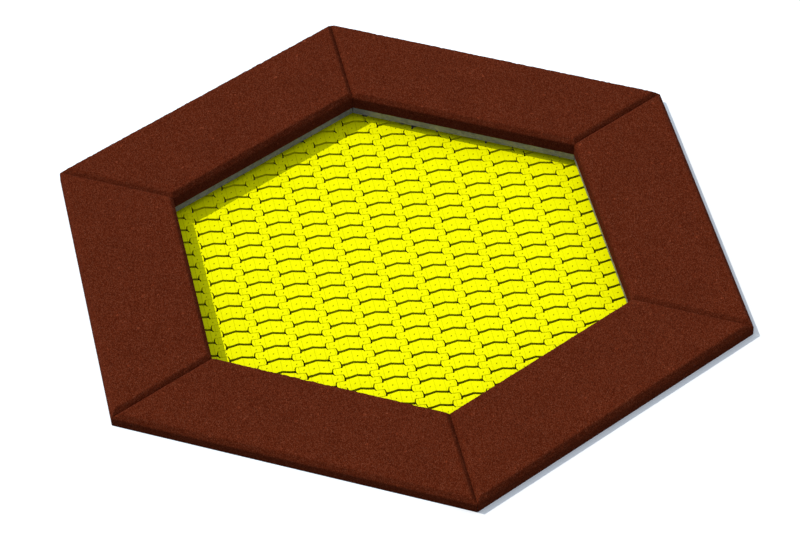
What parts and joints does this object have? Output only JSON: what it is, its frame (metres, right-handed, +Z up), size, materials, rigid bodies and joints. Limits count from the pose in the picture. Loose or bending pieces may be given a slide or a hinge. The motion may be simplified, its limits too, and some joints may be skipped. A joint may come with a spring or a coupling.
{
  "type": "mini trampoline",
  "caption": "Hexagonal in-ground playground trampoline: six bevelled rubber tiles on a galvanised frame around a plate mat on cables and springs.",
  "frame": {"origin": "centre of the frame's base, on the pit floor", "axes": "+Z up; +X square to a flat side of the hexagon; +Y through a corner, along the mat's columns"},
  "size_m": [1.732, 1.9994, 0.35],
  "materials": {
    "rubber": "matt bonded rubber granulate, dark red-brown",
    "galvanised_steel": "hot-dip galvanised sheet and tube, dull spangle",
    "spring_steel": "zinc plated spring wire",
    "steel_cable": "galvanised wire rope",
    "zinc_fittings": "bright zinc plated steel",
    "mat_plate": "moulded yellow plastic with a fine texture"
  },
  "bodies": {
    "frame": {"rubber_tile_1": "rubber", "rubber_tile_2": "rubber", "rubber_tile_3": "rubber", "rubber_tile_4": "rubber", "rubber_tile_5": "rubber", "rubber_tile_6": "rubber", "cover_panel_1": "galvanised_steel", "cover_panel_2": "galvanised_steel", "cover_panel_3": "galvanised_steel", "cover_panel_4": "galvanised_steel", "cover_panel_5": "galvanised_steel", "cover_panel_6": "galvanised_steel", "frame_wall_1": "galvanised_steel", "frame_wall_2": "galvanised_steel", "frame_wall_3": "galvanised_steel", "frame_wall_4": "galvanised_steel", "frame_wall_5": "galvanised_steel", "frame_wall_6": "galvanised_steel", "base_rails": "galvanised_steel", "spring_rails": "galvanised_steel", "support_ribs": "galvanised_steel", "corner_brackets": "galvanised_steel", "foot_plates": "galvanised_steel", "anchor_rods": "galvanised_steel", "rod_lugs": "galvanised_steel", "tile_inserts": "zinc_fittings", "tile_screws": "zinc_fittings", "panel_bolts": "zinc_fittings", "panel_nuts": "zinc_fittings", "frame_bolts": "zinc_fittings", "frame_nuts": "zinc_fittings", "frame_washers": "zinc_fittings"},
    "mat": {"mat_column_01": "mat_plate", "mat_column_02": "mat_plate", "mat_column_03": "mat_plate", "mat_column_04": "mat_plate", "mat_column_05": "mat_plate", "mat_column_06": "mat_plate", "mat_column_07": "mat_plate", "mat_column_08": "mat_plate", "mat_column_09": "mat_plate", "mat_column_10": "mat_plate", "mat_column_11": "mat_plate", "mat_column_12": "mat_plate", "mat_column_13": "mat_plate", "cross_cables": "steel_cable", "cable_clamps": "zinc_fittings", "edge_cable": "steel_cable", "edge_ferrule": "zinc_fittings"},
    "spring_row_1": {"springs_1": "spring_steel"},
    "spring_row_2": {"springs_2": "spring_steel"},
    "spring_row_3": {"springs_3": "spring_steel"},
    "spring_row_4": {"springs_4": "spring_steel"},
    "spring_row_5": {"springs_5": "spring_steel"},
    "spring_row_6": {"springs_6": "spring_steel"}
  },
  "joints": [
    {"name": "mat_bounce", "type": "slide", "parent": "frame", "child": "mat", "axis": [0, 0, 1], "range_m": [-0.1, 0.005], "stiffness_N_per_m": 8000, "springref_m": 0.03274},
    {"name": "spring_swing_1", "type": "hinge", "parent": "frame", "child": "spring_row_1", "pos_m": [0.775, 0, 0.2535], "axis": [0, 1, 0], "range_deg": [-36, 2], "deforming": ["springs_1"]},
    {"name": "spring_swing_2", "type": "hinge", "parent": "frame", "child": "spring_row_2", "pos_m": [0.3875, 0.67117, 0.2535], "axis": [-0.866, 0.5, 0], "range_deg": [-36, 2], "deforming": ["springs_2"]},
    {"name": "spring_swing_3", "type": "hinge", "parent": "frame", "child": "spring_row_3", "pos_m": [-0.3875, 0.67117, 0.2535], "axis": [-0.866, -0.5, 0], "range_deg": [-36, 2], "deforming": ["springs_3"]},
    {"name": "spring_swing_4", "type": "hinge", "parent": "frame", "child": "spring_row_4", "pos_m": [-0.775, 0, 0.2535], "axis": [0, -1, 0], "range_deg": [-36, 2], "deforming": ["springs_4"]},
    {"name": "spring_swing_5", "type": "hinge", "parent": "frame", "child": "spring_row_5", "pos_m": [-0.3875, -0.67117, 0.2535], "axis": [0.866, -0.5, 0], "range_deg": [-36, 2], "deforming": ["springs_5"]},
    {"name": "spring_swing_6", "type": "hinge", "parent": "frame", "child": "spring_row_6", "pos_m": [0.3875, -0.67117, 0.2535], "axis": [0.866, 0.5, 0], "range_deg": [-36, 2], "deforming": ["springs_6"]}
  ],
  "couplings": [
    {"joint": "spring_swing_1", "follows": "mat_bounce", "rad_per_m": 6.1},
    {"joint": "spring_swing_2", "follows": "mat_bounce", "rad_per_m": 6.1},
    {"joint": "spring_swing_3", "follows": "mat_bounce", "rad_per_m": 6.1},
    {"joint": "spring_swing_4", "follows": "mat_bounce", "rad_per_m": 6.1},
    {"joint": "spring_swing_5", "follows": "mat_bounce", "rad_per_m": 6.1},
    {"joint": "spring_swing_6", "follows": "mat_bounce", "rad_per_m": 6.1}
  ]
}
